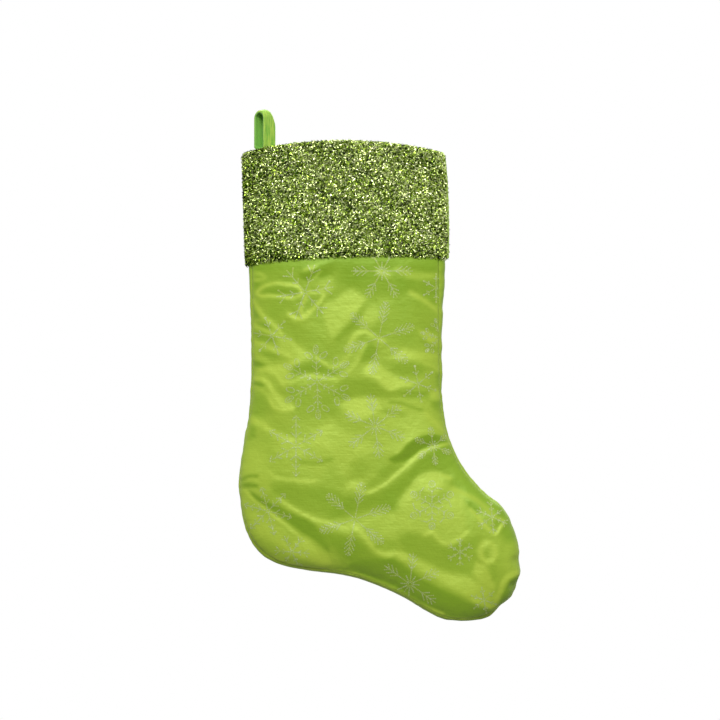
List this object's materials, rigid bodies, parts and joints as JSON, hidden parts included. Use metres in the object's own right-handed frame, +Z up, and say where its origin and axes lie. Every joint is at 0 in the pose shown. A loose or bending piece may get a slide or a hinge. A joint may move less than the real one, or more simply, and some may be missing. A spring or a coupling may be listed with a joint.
{
  "type": "hanging stocking",
  "caption": "Lined satin stocking with a turned-down tinsel cuff, an open mouth, and a folded ribbon loop at the back corner of the rim to hang it from a hook.",
  "frame": {"origin": "the hook's seat: the inside of the top of the ribbon loop's eye", "axes": "+Z up, +X towards the toe, -Y towards the viewer of the front"},
  "size_m": [0.2793, 0.0599, 0.5109],
  "materials": {
    "satin": "padded lime satin with a pale glitter snowflake print",
    "lining": "plain dull woven lining",
    "tinsel": "dense crinkled metallic tinsel pile",
    "facing": "smooth lime facing cloth",
    "ribbon": "green velvet ribbon",
    "thread": "polyester sewing thread"
  },
  "bodies": {
    "loop": {"hanging_loop": "ribbon"},
    "stocking": {"front_panel": "satin", "back_panel": "satin", "front_lining": "lining", "back_lining": "lining", "cuff_band": "tinsel", "cuff_facing": "facing", "shell_seam_thread": "thread", "lining_seam_thread": "thread", "mouth_seam_thread": "thread", "cuff_hem_thread": "thread", "loop_tails": "ribbon", "bar_tack": "thread"}
  },
  "joints": [
    {"name": "loop_fold", "type": "hinge", "parent": "loop", "child": "stocking", "pos_m": [0, 0, -0.036], "axis": [1, 0, 0], "range_deg": [-25, 25]}
  ]
}
